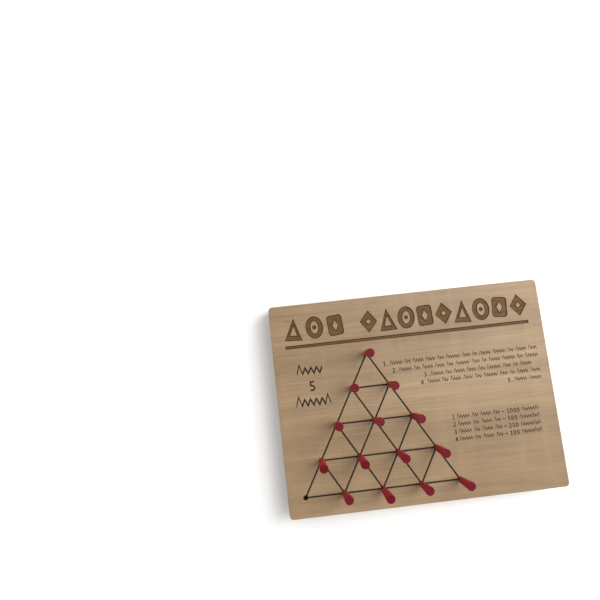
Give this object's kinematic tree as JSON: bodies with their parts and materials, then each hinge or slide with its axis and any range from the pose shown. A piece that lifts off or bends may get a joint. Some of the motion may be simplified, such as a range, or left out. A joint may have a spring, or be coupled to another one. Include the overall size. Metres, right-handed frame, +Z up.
{
  "type": "peg solitaire board",
  "caption": "Rectangular wooden peg solitaire board with a triangular lattice of peg holes, lift-out pegs, rubber feet and peg storage under a turning lid with a window.",
  "frame": {"origin": "on the ground under the centre of the board, at the bottom of the feet", "axes": "+X along the board's long side to the right of the playing face, +Y to the edge with the title ornament, +Z up out of the playing face"},
  "size_m": [0.2032, 0.1524, 0.047],
  "materials": {
    "maple": "satin",
    "birch_ply": "satin",
    "red_plastic": "semi-gloss",
    "black_plastic": "semi-gloss",
    "rubber": "matte",
    "steel": "zinc plated",
    "nylon": "matte"
  },
  "bodies": {
    "board": {"board": "maple", "lid_screw": "steel", "lid_washer": "nylon", "foot_1": "rubber", "foot_2": "rubber", "foot_3": "rubber", "foot_4": "rubber", "black_peg_01": "black_plastic", "black_peg_02": "black_plastic", "black_peg_03": "black_plastic", "black_peg_04": "black_plastic", "black_peg_05": "black_plastic", "black_peg_06": "black_plastic", "black_peg_07": "black_plastic", "black_peg_08": "black_plastic", "black_peg_09": "black_plastic", "black_peg_10": "black_plastic", "black_peg_11": "black_plastic", "black_peg_12": "black_plastic", "black_peg_13": "black_plastic", "black_peg_14": "black_plastic"},
    "lid": {"storage_lid": "birch_ply"},
    "red_peg_1_1": {"red_peg_1_1": "red_plastic"},
    "red_peg_2_1": {"red_peg_2_1": "red_plastic"},
    "red_peg_2_2": {"red_peg_2_2": "red_plastic"},
    "red_peg_3_1": {"red_peg_3_1": "red_plastic"},
    "red_peg_3_2": {"red_peg_3_2": "red_plastic"},
    "red_peg_3_3": {"red_peg_3_3": "red_plastic"},
    "red_peg_4_1": {"red_peg_4_1": "red_plastic"},
    "red_peg_4_2": {"red_peg_4_2": "red_plastic"},
    "red_peg_4_3": {"red_peg_4_3": "red_plastic"},
    "red_peg_4_4": {"red_peg_4_4": "red_plastic"},
    "red_peg_5_2": {"red_peg_5_2": "red_plastic"},
    "red_peg_5_3": {"red_peg_5_3": "red_plastic"},
    "red_peg_5_4": {"red_peg_5_4": "red_plastic"},
    "red_peg_5_5": {"red_peg_5_5": "red_plastic"}
  },
  "joints": [
    {"name": "lid_turn", "type": "hinge", "parent": "board", "child": "lid", "pos_m": [0, 0, 0.00615], "axis": [0, 0, 1], "continuous": true},
    {"name": "lift_red_peg_1_1", "type": "slide", "parent": "board", "child": "red_peg_1_1", "axis": [-0.0363, -0.004, 0.9993], "range_m": [0, 0.04]},
    {"name": "lift_red_peg_2_1", "type": "slide", "parent": "board", "child": "red_peg_2_1", "axis": [-0.0241, 0.0563, 0.9981], "range_m": [0, 0.04]},
    {"name": "lift_red_peg_2_2", "type": "slide", "parent": "board", "child": "red_peg_2_2", "axis": [-0.0282, 0, 0.9996], "range_m": [0, 0.04]},
    {"name": "lift_red_peg_3_1", "type": "slide", "parent": "board", "child": "red_peg_3_1", "axis": [-0.0161, 0.0443, 0.9989], "range_m": [0, 0.04]},
    {"name": "lift_red_peg_3_2", "type": "slide", "parent": "board", "child": "red_peg_3_2", "axis": [0, 0.0443, 0.999], "range_m": [0, 0.04]},
    {"name": "lift_red_peg_3_3", "type": "slide", "parent": "board", "child": "red_peg_3_3", "axis": [0.0121, -0.004, 0.9999], "range_m": [0, 0.04]},
    {"name": "lift_red_peg_4_1", "type": "slide", "parent": "board", "child": "red_peg_4_1", "axis": [0.0081, -0.0443, 0.999], "range_m": [0, 0.04]},
    {"name": "lift_red_peg_4_2", "type": "slide", "parent": "board", "child": "red_peg_4_2", "axis": [0.0121, -0.0644, 0.9979], "range_m": [0, 0.04]},
    {"name": "lift_red_peg_4_3", "type": "slide", "parent": "board", "child": "red_peg_4_3", "axis": [0.0121, -0.0363, 0.9993], "range_m": [0, 0.04]},
    {"name": "lift_red_peg_4_4", "type": "slide", "parent": "board", "child": "red_peg_4_4", "axis": [0, -0.0202, 0.9998], "range_m": [0, 0.04]},
    {"name": "lift_red_peg_5_2", "type": "slide", "parent": "board", "child": "red_peg_5_2", "axis": [0.0282, 0.0443, 0.9986], "range_m": [0, 0.04]},
    {"name": "lift_red_peg_5_3", "type": "slide", "parent": "board", "child": "red_peg_5_3", "axis": [0.0201, -0.0604, 0.998], "range_m": [0, 0.04]},
    {"name": "lift_red_peg_5_4", "type": "slide", "parent": "board", "child": "red_peg_5_4", "axis": [-0.0242, 0.0282, 0.9993], "range_m": [0, 0.04]},
    {"name": "lift_red_peg_5_5", "type": "slide", "parent": "board", "child": "red_peg_5_5", "axis": [-0.0161, 0.0202, 0.9997], "range_m": [0, 0.04]}
  ]
}
